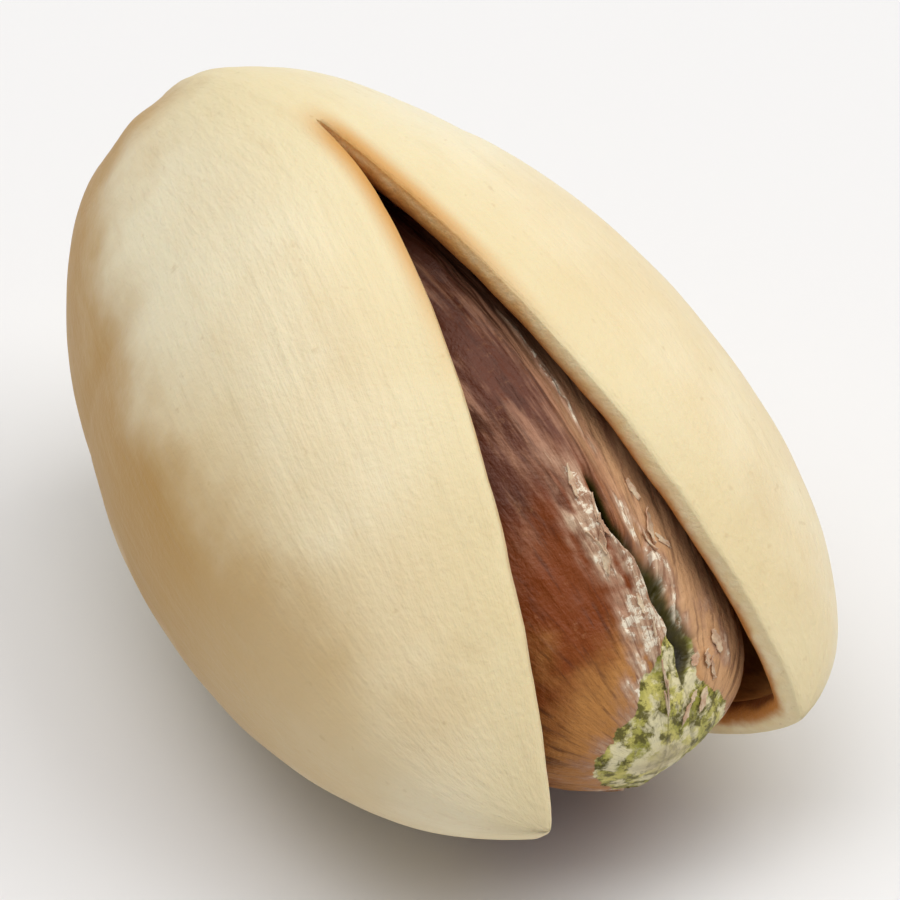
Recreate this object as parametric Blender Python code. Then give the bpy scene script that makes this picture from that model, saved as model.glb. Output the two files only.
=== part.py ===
"""A pistachio in its split shell, lying with the mouth of the shell facing up.

Two pieces: the shell, whose two halves are still joined at the base, and the kernel inside it.
Each surface is written as a formula for the closed nut, in the nut's own axes:
    along, from the base (the old stem end) to the tip,
    up, in the plane of the seam, positive on the side that ends up on top,
    out, square to that plane, positive on the left half.
theta runs from 0 at the base to pi at the tip, and phi from 0 on the upper seam to pi on the lower one.
The halves are then bent open, and the nut is laid on the table with its tip low.
Metres, +Z up. The origin is on the table, under the middle of the nut. The tip points along +X.
"""

import math

import bmesh
import bpy
import numpy as np

MM = 0.001

# The closed shell.
LENGTH = 20.0 * MM
WIDTH = 12.45 * MM
THICKNESS = 11.5 * MM
WIDTH_TAPER = 0.56
THICKNESS_TAPER = 0.0
TIP_LIFT = 0.45 * MM
WALL = 0.85 * MM
WALL_AT_BASE = 1.3 * MM
WALL_AT_TIP = 0.95 * MM
RIM_ROUNDING = 0.16 * MM
RIM_BEVEL = 0.34 * MM

# The stem scar, the ribs that fan out from it, the raised lower seam and the flat shoulders by the upper one.
SCAR_RADIUS = 1.3 * MM
SCAR_DEPTH = 0.22 * MM
SCAR_LIP = 0.03 * MM
RIB_COUNT = 9
RIB_HEIGHT = 0.035 * MM
RIB_REACH = 0.85
SEAM_HEIGHT = 0.10 * MM
SEAM_SPREAD = 0.16
SEAM_REACH = 0.5
SHOULDER_DEPTH = 0.40 * MM
SHOULDER_PLACE = 0.85
SHOULDER_REACH = 0.48
SHOULDER_TURN = 0.6
SHOULDER_SPREAD = 0.6
SWELL_HEIGHT = 0.06 * MM

# How far the halves have sprung apart, and where the bend begins.
OPENING = math.radians(14.4)
BEND_START = 5.57 * MM
BEND_LENGTH = 2.8 * MM
CRACK_GAP = 0.03 * MM

# The kernel is rolled a little to the right. Its section is oval at the base and lens-shaped at the tip,
# where the upper right side is the fuller one.
KERNEL_START = 2.75 * MM
KERNEL_LENGTH = 16.45 * MM
KERNEL_WIDTH = 9.45 * MM
KERNEL_THICKNESS = 8.75 * MM
KERNEL_WIDTH_TAPER = 0.12
KERNEL_THICKNESS_TAPER = -0.06
KERNEL_PINCH = 0.24
KERNEL_TIP_PINCH = 1.0
KERNEL_TIP_SWELL = 0.30
KERNEL_SWELL_PLACE = 0.87
KERNEL_SWELL_SPREAD = 0.10
KERNEL_SWELL_TURN = 0.9
KERNEL_SHIFT = -0.15 * MM
KERNEL_TIP_SHIFT = 0.2 * MM
KERNEL_ROLL = math.radians(7.0)
KEEL_HEIGHT = 0.15 * MM
KEEL_SPREAD = 0.30
LOWER_KEEL = 0.7
CRACK_DEPTH = 0.45 * MM
CRACK_SPREAD = 0.12
CRACK_START = 0.60
CRACK_FADE = 0.04
WRINKLE_HEIGHT = 0.06 * MM
WRINKLE_COUNT = 7

# How the nut lies: its tip is lower than its base, and it stands on two small flats.
TIP_DOWN = math.radians(13.3)
FLAT_DEPTH = 0.28 * MM

# Mesh fineness.
SHELL_ROWS = 34
SHELL_COLUMNS = 20
KERNEL_ROWS = 34
KERNEL_COLUMNS = 44
RIM_STEPS = 3

SHELL_COLOUR = (0.72, 0.60, 0.38, 1.0)
SHELL_ROUGHNESS = 0.55
KERNEL_COLOUR = (0.30, 0.13, 0.07, 1.0)
KERNEL_ROUGHNESS = 0.5


def taper(theta, sharpness):
    """Half-width of an egg outline, 1 at its widest. More sharpness gives a finer tip."""
    samples = np.linspace(0.0, math.pi, 721)
    widest = (np.sin(samples) * np.cos(samples / 2) ** sharpness).max()
    half = np.maximum(np.cos(np.asarray(theta) / 2), 0.0)
    return np.sin(theta) * half**sharpness / widest


def egg(theta, phi, start, length, width, thickness):
    """Points of one half of a shell-shaped egg."""
    along = start + length / 2 * (1 - np.cos(theta))
    up = width / 2 * taper(theta, WIDTH_TAPER) * np.cos(phi)
    out = thickness / 2 * taper(theta, THICKNESS_TAPER) * np.sin(phi)
    return np.stack(np.broadcast_arrays(along, up, out), axis=-1)


def bump(distance, spread):
    """A smooth hill, 1 high at distance 0."""
    return np.exp(-((distance / spread) ** 2))


def shell_relief(theta, phi):
    """Height above the smooth egg: stem scar, ribs, raised lower seam, flat shoulders and a faint swell."""
    from_base = theta * math.sqrt(LENGTH * WIDTH) / 2
    scar = SCAR_LIP * bump(from_base - SCAR_RADIUS, SCAR_RADIUS * 0.4)
    scar = scar - SCAR_DEPTH * bump(from_base, SCAR_RADIUS * 0.7)
    fan = np.sin(np.minimum(theta / RIB_REACH, 1.0) * math.pi) ** 2
    ribs = RIB_HEIGHT * fan * np.cos(RIB_COUNT * phi)
    seam = SEAM_HEIGHT * bump(math.pi - phi, SEAM_SPREAD) * bump(theta - RIB_REACH, SEAM_REACH)
    shoulder = SHOULDER_DEPTH * bump(phi - SHOULDER_TURN, SHOULDER_SPREAD)
    shoulder = shoulder * bump(theta - SHOULDER_PLACE, SHOULDER_REACH)
    swell = SWELL_HEIGHT * np.sin(2.3 * theta + 1.0) * np.sin(2 * phi + 0.7) * np.sin(theta)
    return scar + ribs + seam - shoulder + swell


def closed_outer(theta, phi):
    """The outer face of one half of the closed shell. Points on the seam stay in its plane."""
    points = egg(theta, phi, 0.0, LENGTH, WIDTH, THICKNESS)
    away = points - np.array([LENGTH / 2, 0.0, 0.0])
    away /= np.linalg.norm(away, axis=-1, keepdims=True)
    away[..., 2] *= np.sin(phi) > 1e-6
    return lifted(points + shell_relief(theta, phi)[..., None] * away)


def closed_inner(theta, phi):
    """The inner face of one half of the closed shell."""
    length = LENGTH - WALL_AT_BASE - WALL_AT_TIP
    return lifted(egg(theta, phi, WALL_AT_BASE, length, WIDTH - 2 * WALL, THICKNESS - 2 * WALL))


def lifted(points):
    """Leans the nut's middle line, so that the tip lies a little nearer the upper seam."""
    lift = TIP_LIFT * (points[..., :1] / LENGTH - 0.5)
    return points + lift * np.array([0.0, 1.0, 0.0])


def swing(past):
    """Sideways travel of a half at a distance past the start of the bend."""
    return OPENING * (past - BEND_LENGTH * (1 - np.exp(-past / BEND_LENGTH)))


def opened(points, side, gap=0.0):
    """Bends one closed half outwards past BEND_START. side is 1 for the left half, -1 for the right."""
    past = np.maximum(points[..., 0] - BEND_START, 0.0)
    fade = 1 - np.exp(-past / BEND_LENGTH)
    fade_twice = 1 - np.exp(-2 * past / BEND_LENGTH)
    angle = OPENING * fade
    shrink = OPENING**2 / 2 * (past - 2 * BEND_LENGTH * fade + BEND_LENGTH / 2 * fade_twice)
    along = points[..., 0] - points[..., 2] * np.sin(angle) - shrink
    out = points[..., 2] * np.cos(angle) + swing(past) + gap
    return np.stack([along, points[..., 1], side * out], axis=-1)


def laid_down(points):
    """Turns nut axes into table axes: the seam plane stands upright and the tip points low along +X."""
    along, up, out = points[..., 0], points[..., 1], points[..., 2]
    x = along * math.cos(TIP_DOWN) + up * math.sin(TIP_DOWN)
    z = up * math.cos(TIP_DOWN) - along * math.sin(TIP_DOWN)
    return np.stack([x, -out, z], axis=-1)


def grid_faces(bm, rows):
    """Quads between neighbouring rows of vertices; a row may be a single pole vertex."""
    for first, second in zip(rows, rows[1:]):
        count = max(len(first), len(second))
        first = first * count if len(first) == 1 else first
        second = second * count if len(second) == 1 else second
        for k in range(count - 1):
            corners = dict.fromkeys([first[k], first[k + 1], second[k + 1], second[k]])
            if len(corners) >= 3:
                bm.faces.new(corners)


def first_split_row(rows):
    """Index of the first row that lies past the bend all the way through the wall."""
    return next(k for k, theta in enumerate(rows) if closed_inner(theta, 0.0)[0] > BEND_START)


def rim_shape(theta, across):
    """How far a point of the rim stands back from the seam plane. across is 0 outside and 1 inside."""
    ease = 1 - math.exp(-max(closed_inner(theta, 0.0)[0] - BEND_START, 0.0) / BEND_LENGTH)
    lowest = RIM_ROUNDING if across < 0.5 else RIM_BEVEL
    return CRACK_GAP + lowest * ease * (2 * across - 1) ** 2


def shell_half(bm, side):
    """Adds one half of the shell: its outer face, its inner face and the rims where it has split."""
    rows = np.linspace(0.0, math.pi, SHELL_ROWS + 1)
    columns = np.linspace(0.0, math.pi, SHELL_COLUMNS + 1)
    split = first_split_row(rows)

    def face_row(surface, k, across):
        row = []
        for phi in columns[:1] if k in (0, SHELL_ROWS) else columns:
            on_seam = phi in (columns[0], columns[-1])
            gap = rim_shape(rows[k], across) if on_seam and k >= split else 0.0
            row.append(bm.verts.new(opened(surface(rows[k], phi), side, gap)))
        return row

    outer = [face_row(closed_outer, k, 0.0) for k in range(SHELL_ROWS + 1)]
    inner = [face_row(closed_inner, k, 1.0) for k in range(SHELL_ROWS + 1)]
    grid_faces(bm, outer)
    grid_faces(bm, inner)
    for edge in (0, -1):
        chains = []
        for k in range(split - 1, SHELL_ROWS + 1):
            start = closed_outer(rows[k], columns[edge])
            end = closed_inner(rows[k], columns[edge])
            middle = []
            for across in np.arange(1, RIM_STEPS) / RIM_STEPS:
                gap = rim_shape(rows[k], across) if k >= split else 0.0
                middle.append(bm.verts.new(opened(start + (end - start) * across, side, gap)))
            chains.append([outer[k][edge], *middle, inner[k][edge]])
        grid_faces(bm, chains)


def shell_mesh():
    """Both halves as one mesh in nut axes, joined where they haven't split."""
    bm = bmesh.new()
    for side in (1, -1):
        shell_half(bm, side)
    return bm


def kernel_relief(theta, phi):
    """Height above the smooth kernel: a keel under each seam, the crack in the skin and broad wrinkles."""
    to_top = np.abs(np.arctan2(np.sin(phi), np.cos(phi)))
    keels = bump(to_top, KEEL_SPREAD) + LOWER_KEEL * bump(math.pi - to_top, KEEL_SPREAD)
    keel = KEEL_HEIGHT * keels * np.sin(theta / 2)
    towards_tip = 1 / (1 + np.exp((CRACK_START - theta / math.pi) / CRACK_FADE))
    crack = CRACK_DEPTH * bump(to_top, CRACK_SPREAD) * towards_tip
    wrinkles = WRINKLE_HEIGHT * np.cos(WRINKLE_COUNT * phi + 2.2 * np.sin(2.4 * theta + 0.6))
    return (keel - crack + wrinkles) * np.sin(theta)


def kernel_points(theta, phi):
    """The kernel's surface. phi runs the whole way round."""
    along = KERNEL_START + KERNEL_LENGTH / 2 * (1 - np.cos(theta))
    half_width = KERNEL_WIDTH / 2 * taper(theta, KERNEL_WIDTH_TAPER)
    swell = KERNEL_TIP_SWELL * bump(theta / math.pi - KERNEL_SWELL_PLACE, KERNEL_SWELL_SPREAD)
    swell = swell * np.maximum(np.cos(phi + KERNEL_SWELL_TURN), 0.0) ** 3
    half_thickness = KERNEL_THICKNESS / 2 * taper(theta, KERNEL_THICKNESS_TAPER) * (1 + swell)
    pinch = KERNEL_PINCH + KERNEL_TIP_PINCH * (theta / math.pi) ** 2
    relief = kernel_relief(theta, phi)
    up = (half_width + relief) * np.cos(phi)
    out = (half_thickness * np.abs(np.sin(phi)) ** pinch + relief) * np.sin(phi)
    rolled_up = up * math.cos(KERNEL_ROLL) + out * math.sin(KERNEL_ROLL)
    rolled_out = out * math.cos(KERNEL_ROLL) - up * math.sin(KERNEL_ROLL)
    rolled_out = rolled_out + KERNEL_SHIFT + KERNEL_TIP_SHIFT * (theta / math.pi) ** 3
    return lifted(np.stack(np.broadcast_arrays(along, rolled_up, rolled_out), axis=-1))


def kernel_mesh():
    """The kernel as one mesh in nut axes."""
    bm = bmesh.new()
    rows = []
    for theta in np.linspace(0.0, math.pi, KERNEL_ROWS + 1):
        pole = theta in (0.0, math.pi)
        turns = np.arange(1 if pole else KERNEL_COLUMNS) * 2 * math.pi / KERNEL_COLUMNS
        row = [bm.verts.new(kernel_points(theta, phi)) for phi in turns]
        rows.append(row if pole else row + row[:1])
    grid_faces(bm, rows)
    return bm


def lay_on_table(shell, kernel):
    """Lays both meshes down, trims the two flats that the shell stands on, and moves the origin."""
    for bm in (shell, kernel):
        for vertex in bm.verts:
            vertex.co = laid_down(np.array(vertex.co))
    points = np.array([vertex.co for vertex in shell.verts])
    table = points[:, 2].min() + FLAT_DEPTH
    for vertex in shell.verts:
        vertex.co.z = max(vertex.co.z, table)
    middle = (points.min(axis=0) + points.max(axis=0)) / 2
    bmesh.ops.translate(shell, verts=shell.verts, vec=(-middle[0], -middle[1], -table))
    bmesh.ops.translate(kernel, verts=kernel.verts, vec=(-middle[0], -middle[1], -table))


def mesh_object(name, bm, colour, roughness):
    """Welds the shared points, turns the faces outwards and makes the named object."""
    bmesh.ops.remove_doubles(bm, verts=bm.verts, dist=1e-7)
    bmesh.ops.recalc_face_normals(bm, faces=bm.faces)
    if bm.calc_volume(signed=True) < 0:
        bmesh.ops.reverse_faces(bm, faces=bm.faces)
    mesh = bpy.data.meshes.new(name)
    bm.to_mesh(mesh)
    bm.free()
    mesh.shade_smooth()
    mesh.set_sharp_from_angle(angle=math.radians(50))
    material = bpy.data.materials.new(name)
    material.use_nodes = True
    shader = material.node_tree.nodes["Principled BSDF"]
    shader.inputs["Base Color"].default_value = colour
    shader.inputs["Roughness"].default_value = roughness
    mesh.materials.append(material)
    thing = bpy.data.objects.new(name, mesh)
    bpy.context.scene.collection.objects.link(thing)
    return thing


def main():
    for thing in list(bpy.data.objects):
        bpy.data.objects.remove(thing)
    shell = shell_mesh()
    kernel = kernel_mesh()
    lay_on_table(shell, kernel)
    mesh_object("shell", shell, SHELL_COLOUR, SHELL_ROUGHNESS)
    mesh_object("kernel", kernel, KERNEL_COLOUR, KERNEL_ROUGHNESS)


main()
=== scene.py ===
# %% [markdown]
# # A pistachio in its split shell
#
# The nut lies on a pale table with its mouth up. A hard cream shell has split along its seam and gapes
# towards the tip, and the seed inside shows its thin papery skin, a crack, and green flesh at the tip.
# Every surface here is a formula in two angles. theta runs from 0 at the base, where the nut hung on its
# stem, to pi at the tip. phi runs from 0 on the upper seam round the side to pi on the lower seam.
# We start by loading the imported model, which gives the frame that every piece has to fit.

# %% Load the frame
import math

import bmesh
import bpy
import numpy as np
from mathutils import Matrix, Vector, noise


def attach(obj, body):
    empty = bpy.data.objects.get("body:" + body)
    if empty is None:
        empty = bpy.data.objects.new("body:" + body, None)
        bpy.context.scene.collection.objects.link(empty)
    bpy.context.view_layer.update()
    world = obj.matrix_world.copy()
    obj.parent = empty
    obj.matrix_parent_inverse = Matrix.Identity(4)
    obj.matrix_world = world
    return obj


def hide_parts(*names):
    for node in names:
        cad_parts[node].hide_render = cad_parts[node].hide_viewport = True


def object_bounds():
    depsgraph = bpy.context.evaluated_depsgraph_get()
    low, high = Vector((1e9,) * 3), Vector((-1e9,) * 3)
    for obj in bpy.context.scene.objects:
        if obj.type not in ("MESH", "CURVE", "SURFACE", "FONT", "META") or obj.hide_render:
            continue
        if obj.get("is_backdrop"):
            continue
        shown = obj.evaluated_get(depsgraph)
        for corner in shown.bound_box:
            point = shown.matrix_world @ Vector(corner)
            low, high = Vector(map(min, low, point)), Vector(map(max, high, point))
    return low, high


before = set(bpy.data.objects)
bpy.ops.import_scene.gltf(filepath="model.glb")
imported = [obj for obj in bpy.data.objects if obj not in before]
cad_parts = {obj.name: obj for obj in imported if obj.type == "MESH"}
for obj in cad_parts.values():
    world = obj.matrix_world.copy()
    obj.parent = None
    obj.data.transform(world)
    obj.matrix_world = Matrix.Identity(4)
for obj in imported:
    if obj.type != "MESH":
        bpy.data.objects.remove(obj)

CAD_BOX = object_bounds()
MM = 0.001
print("nodes to dress:", sorted(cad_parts))

# %% [markdown]
# ## The measures of the nut
#
# These are the nut's own sizes, the ones the solid model uses. A reader could model the shell by pulling
# an egg about by hand, but then nothing would line up with the solids. Keeping the same named sizes and
# the same formulas keeps the dressed nut and the solid nut in one place.

# %% Sizes of the shell and of its opening
LENGTH, WIDTH, THICKNESS = 20.0 * MM, 12.45 * MM, 11.5 * MM
WIDTH_TAPER, THICKNESS_TAPER = 0.56, 0.0
TIP_LIFT = 0.45 * MM
WALL, WALL_AT_BASE, WALL_AT_TIP = 0.85 * MM, 1.3 * MM, 0.95 * MM
SCAR_RADIUS, SCAR_DEPTH, SCAR_LIP = 1.3 * MM, 0.22 * MM, 0.03 * MM
RIB_COUNT, RIB_HEIGHT, RIB_REACH = 9, 0.035 * MM, 0.85
SEAM_HEIGHT, SEAM_SPREAD, SEAM_REACH = 0.10 * MM, 0.16, 0.5
SHOULDER_DEPTH, SHOULDER_PLACE, SHOULDER_REACH = 0.40 * MM, 0.85, 0.48
SHOULDER_TURN, SHOULDER_SPREAD = 0.6, 0.6
SWELL_HEIGHT = 0.06 * MM
OPENING = math.radians(14.4)
BEND_START, BEND_LENGTH = 5.57 * MM, 2.8 * MM
TIP_DOWN = math.radians(13.3)
FLAT_DEPTH = 0.28 * MM
print(f"closed shell {LENGTH / MM:.1f} x {WIDTH / MM:.2f} x {THICKNESS / MM:.2f} mm")

# %% [markdown]
# ## An egg from a formula
#
# A nut is an egg, blunt at the base and finer at the tip. A sine for the width with a power of a
# cosine on top gives the finer tip with one number, and works the same for the outer face, the inner
# face and the seed.

# %% Egg outline
OUTLINE_SAMPLES = 721


def taper(theta, sharpness):
    """Half-width of an egg outline, 1 at its widest."""
    samples = np.linspace(0.0, math.pi, OUTLINE_SAMPLES)
    widest = (np.sin(samples) * np.cos(samples / 2) ** sharpness).max()
    half = np.maximum(np.cos(np.asarray(theta) / 2), 0.0)
    return np.sin(theta) * half**sharpness / widest


def egg(theta, phi, start, length, width, thickness):
    """Points of one half of the shell: along the nut, up in the seam plane, out from it."""
    along = start + length / 2 * (1 - np.cos(theta))
    up = width / 2 * taper(theta, WIDTH_TAPER) * np.cos(phi)
    out = thickness / 2 * taper(theta, THICKNESS_TAPER) * np.sin(phi)
    return np.stack(np.broadcast_arrays(along, up, out), axis=-1)


def hill(distance, spread):
    """A smooth hill, 1 high at distance 0."""
    return np.exp(-((distance / spread) ** 2))


def lifted(points):
    """Leans the middle line, so that the tip lies nearer the upper seam."""
    lift = TIP_LIFT * (points[..., :1] / LENGTH - 0.5)
    return points + lift * np.array([0.0, 1.0, 0.0])


quarters = math.pi * np.array([0.25, 0.5, 0.75])
print("half-width at a quarter, half and three quarters:", taper(quarters, WIDTH_TAPER).round(2))

# %% [markdown]
# ## Noise for the fine shapes
#
# Nothing that grew is quite smooth. Blender can add small lumps with a displacement modifier and a
# texture. Reading the noise at each point in code does the same, and lets us stretch it, fade it and keep
# it in step with the seams. The noise is fixed, so every run gives the same nut.

# %% Lumps of a chosen size
def lumps(points, size, shift=0.0, octaves=3):
    """Noise from about -1 to 1 at each point. size is the size of a lump, in the unit of the points."""
    flat = np.asarray(points, float).reshape(-1, 3) / size + shift
    values = [noise.fractal(Vector(spot), 1.0, 2.0, octaves) for spot in flat]
    return np.array(values).reshape(np.shape(points)[:-1])


def soft_step(value, low, high):
    """0 below low, 1 above high, and a smooth rise between them."""
    share = np.clip((value - low) / (high - low), 0.0, 1.0)
    return share * share * (3 - 2 * share)


def grain_lines(theta, phi, side):
    """A place for the grain: slow from base to tip, quick round the nut, so noise turns into streaks."""
    round_it = 2.0 + 3.0 * np.sin(theta)
    place = np.broadcast_arrays(0.9 * theta, round_it * np.cos(phi), round_it * side * np.sin(phi))
    return np.stack(place, axis=-1)


print("noise at two points:", lumps(np.array([[0.1, 0.2, 0.3], [1.1, 1.2, 1.3]]), 1.0).round(3))

# %% [markdown]
# ## The outer face of the shell
#
# The face is almost smooth. At the base sits the scar where the stem was, with faint ribs that fan out
# from it, a raised lower seam, and a flat shoulder on either side of the upper one. Over that go fine
# grooves from base to tip, shallow dents, and a rough patch on the scar. A bump texture could fake the
# fine ones, but real shapes in the mesh catch the light from any side and show at the outline too.

# %% Relief of the outer face
DENT_DEPTH, DENT_SIZE = 0.035 * MM, 2.6 * MM
CRUST_HEIGHT, CRUST_SIZE = 0.13 * MM, 0.45 * MM
HAIRLINE_DEPTH, HAIRLINE_SPREAD = 0.04 * MM, 0.10 * MM


def distance_from_base(theta):
    """Length along the shell from the middle of its base."""
    return theta * math.sqrt(LENGTH * WIDTH) / 2


def distance_to_seam(theta, phi):
    """Length round the shell to the nearer seam."""
    return np.minimum(phi, math.pi - phi) * WIDTH / 2 * np.sin(theta)


def own_side(points, side):
    """Mirrors the points of the right half, so that each half gets noise of its own."""
    return points * np.array([1.0, 1.0, side])


def shell_relief(theta, phi):
    """Scar, ribs, raised lower seam, flat shoulders and faint swell, as on the solid."""
    from_base = distance_from_base(theta)
    scar = SCAR_LIP * hill(from_base - SCAR_RADIUS, SCAR_RADIUS * 0.4)
    scar = scar - SCAR_DEPTH * hill(from_base, SCAR_RADIUS * 0.7)
    fan = np.sin(np.minimum(theta / RIB_REACH, 1.0) * math.pi) ** 2
    ribs = RIB_HEIGHT * fan * np.cos(RIB_COUNT * phi)
    seam = SEAM_HEIGHT * hill(math.pi - phi, SEAM_SPREAD) * hill(theta - RIB_REACH, SEAM_REACH)
    shoulder = SHOULDER_DEPTH * hill(phi - SHOULDER_TURN, SHOULDER_SPREAD)
    shoulder = shoulder * hill(theta - SHOULDER_PLACE, SHOULDER_REACH)
    swell = SWELL_HEIGHT * np.sin(2.3 * theta + 1.0) * np.sin(2 * phi + 0.7) * np.sin(theta)
    return scar + ribs + seam - shoulder + swell


def grown_relief(points, theta, phi, side):
    """The fine shapes that the solid leaves out: grooves, dents, the crusty scar and the closed seam."""
    own = own_side(points, side)
    from_base = distance_from_base(theta)
    near_base = hill(from_base, 3.2 * MM)
    grooves = (0.008 + 0.014 * near_base) * MM * lumps(grain_lines(theta, phi, side), 0.55, 3.0)
    dents = DENT_DEPTH * lumps(own, DENT_SIZE, 7.0, 2)
    crust = CRUST_HEIGHT * lumps(own, CRUST_SIZE, 1.0, 4) * soft_step(-from_base, -1.9 * MM, -0.9 * MM)
    hairline = -HAIRLINE_DEPTH * hill(distance_to_seam(theta, phi), HAIRLINE_SPREAD)
    return grooves + dents + crust + hairline * soft_step(from_base, 1.2 * MM, 2.4 * MM)


half_way = np.array([math.pi / 2])
print("relief in the middle of a flank, mm:", (shell_relief(half_way, half_way) / MM).round(3))

# %% [markdown]
# ## The two faces of the closed shell
#
# The wall is under a millimetre thick, and thicker at the base and at the tip. One face and a solidify
# modifier would give the same wall everywhere. So the inner face is an egg of its own, a little smaller
# than the outer one, and the relief goes on the outer face only, because the inside is smooth.

# %% Outer and inner face
ON_SEAM = 1e-6


def closed_outer(theta, phi, side=1, fine=False):
    """The outer face of one half. Points on the seam stay in its plane."""
    points = egg(theta, phi, 0.0, LENGTH, WIDTH, THICKNESS)
    away = points - np.array([LENGTH / 2, 0.0, 0.0])
    away /= np.linalg.norm(away, axis=-1, keepdims=True)
    away[..., 2] *= np.sin(phi) > ON_SEAM
    height = shell_relief(theta, phi)
    if fine:
        height = height + grown_relief(points, theta, phi, side)
    return lifted(points + height[..., None] * away)


def closed_inner(theta, phi):
    """The inner face of one half."""
    length = LENGTH - WALL_AT_BASE - WALL_AT_TIP
    return lifted(egg(theta, phi, WALL_AT_BASE, length, WIDTH - 2 * WALL, THICKNESS - 2 * WALL))


flank_wall = closed_outer(half_way, half_way) - closed_inner(half_way, half_way)
print("wall in the middle of a flank, mm:", (flank_wall[0, 2] / MM).round(2))

# %% [markdown]
# ## Springing the halves open
#
# When the seed fills out it drives the shell apart from the tip. The halves stay one piece at the base
# and bend just in front of it. A lattice or a bend modifier could do it, but a formula bends each point
# by the same rule as the solid: no bend before the start, then a smooth turn to the full opening.

# %% Opening and laying down
def swing(past):
    """Sideways travel of a half at a distance past the start of the bend."""
    return OPENING * (past - BEND_LENGTH * (1 - np.exp(-past / BEND_LENGTH)))


def opened(points, side, gap=0.0):
    """Bends one closed half outwards. side is 1 for the left half and -1 for the right."""
    past = np.maximum(points[..., 0] - BEND_START, 0.0)
    fade = 1 - np.exp(-past / BEND_LENGTH)
    fade_twice = 1 - np.exp(-2 * past / BEND_LENGTH)
    angle = OPENING * fade
    shrink = OPENING**2 / 2 * (past - 2 * BEND_LENGTH * fade + BEND_LENGTH / 2 * fade_twice)
    along = points[..., 0] - points[..., 2] * np.sin(angle) - shrink
    out = points[..., 2] * np.cos(angle) + swing(past) + gap
    return np.stack([along, points[..., 1], side * out], axis=-1)


def turned_down(points):
    """The seam plane stands upright and the tip points low along +X."""
    along, up, out = points[..., 0], points[..., 1], points[..., 2]
    x = along * math.cos(TIP_DOWN) + up * math.sin(TIP_DOWN)
    z = up * math.cos(TIP_DOWN) - along * math.sin(TIP_DOWN)
    return np.stack([x, -out, z], axis=-1)


def resting_place(rows=35, columns=21):
    """Where the origin lies: the middle of the plain shell, at the height that trims its two flats."""
    theta = np.linspace(0.0, math.pi, rows)[:, None]
    phi = np.linspace(0.0, math.pi, columns)[None, :]
    halves = [turned_down(opened(closed_outer(theta, phi), side)) for side in (1, -1)]
    points = np.concatenate([half.reshape(-1, 3) for half in halves])
    low, high = points.min(axis=0), points.max(axis=0)
    return np.array([(low[0] + high[0]) / 2, (low[1] + high[1]) / 2, low[2] + FLAT_DEPTH])


ORIGIN = resting_place()


def on_table(points):
    """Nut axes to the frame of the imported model. Nothing goes below the table."""
    placed = turned_down(points) - ORIGIN
    placed[..., 2] = np.maximum(placed[..., 2], 0.0)
    return placed


print("origin of the nut in its turned axes, mm:", (ORIGIN / MM).round(2))

# %% [markdown]
# ## From grids of points to a mesh
#
# Each face of the nut is a grid: rows from base to tip, columns round it. Grids that meet share points,
# and welding joins them into one skin. A boolean union would join solids as well, but it cuts their
# faces up. Beside its place, a point can carry notes, such as its distance from the base. The finishes
# read these notes to put a stain or a streak where it belongs.

# %% Weld grids into one mesh
SAME_PLACE = 2e-9


def quads_of(grid, start):
    """The faces of a grid whose points are numbered from start."""
    rows, columns = grid.shape[:2]
    number = start + np.arange(rows * columns).reshape(rows, columns)
    corners = [number[:-1, :-1], number[:-1, 1:], number[1:, 1:], number[1:, :-1]]
    return np.stack(corners, axis=-1).reshape(-1, 4)


def weld(mesh):
    """Joins points that share a place and turns all faces outwards."""
    bm = bmesh.new()
    bm.from_mesh(mesh)
    bmesh.ops.remove_doubles(bm, verts=bm.verts, dist=SAME_PLACE)
    bmesh.ops.recalc_face_normals(bm, faces=bm.faces)
    if bm.calc_volume(signed=True) < 0:
        bmesh.ops.reverse_faces(bm, faces=bm.faces)
    print("open edges:", sum(len(edge.link_faces) != 2 for edge in bm.edges))
    bm.to_mesh(mesh)
    bm.free()


def piece_of_grids(name, grids, notes, finishes, finish_of_grid):
    """Makes the object. notes maps a name to one array for each grid."""
    starts = np.cumsum([0] + [grid.shape[0] * grid.shape[1] for grid in grids])
    faces = [quads_of(grid, start) for grid, start in zip(grids, starts)]
    points = np.concatenate([grid.reshape(-1, 3) for grid in grids])
    mesh = bpy.data.meshes.new(name)
    mesh.from_pydata(points.tolist(), [], np.concatenate(faces).tolist())
    for label, values in notes.items():
        wide = values[0].ndim == 3
        layer = mesh.attributes.new(label, "FLOAT_VECTOR" if wide else "FLOAT", "POINT")
        flat = np.concatenate([np.asarray(value, float).ravel() for value in values])
        layer.data.foreach_set("vector" if wide else "value", flat)
    for finish in finishes:
        mesh.materials.append(finish)
    chosen = np.concatenate([np.full(len(face), k) for face, k in zip(faces, finish_of_grid)])
    mesh.polygons.foreach_set("material_index", chosen)
    weld(mesh)
    mesh.shade_smooth()
    piece = bpy.data.objects.new(name, mesh)
    bpy.context.scene.collection.objects.link(piece)
    print(f"{name}: {len(mesh.vertices)} points, {len(mesh.polygons)} faces")
    return piece


print("faces in a grid of 4 by 5 points:", len(quads_of(np.zeros((4, 5, 3)), 0)))

# %% [markdown]
# ## A short way to write finishes
#
# A finish is a small network of shader nodes: notes or noise go in, and colour, shine and bump come
# out. It can be wired by hand in the shader editor. The helpers below add and wire a node in one line,
# so that each finish reads as a recipe and two finishes can share a part.

# %% Node helpers
def new_finish(name):
    """A material with its shader, and nothing else."""
    material = bpy.data.materials.new(name)
    material.use_nodes = True
    return material, material.node_tree, material.node_tree.nodes["Principled BSDF"]


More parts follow.
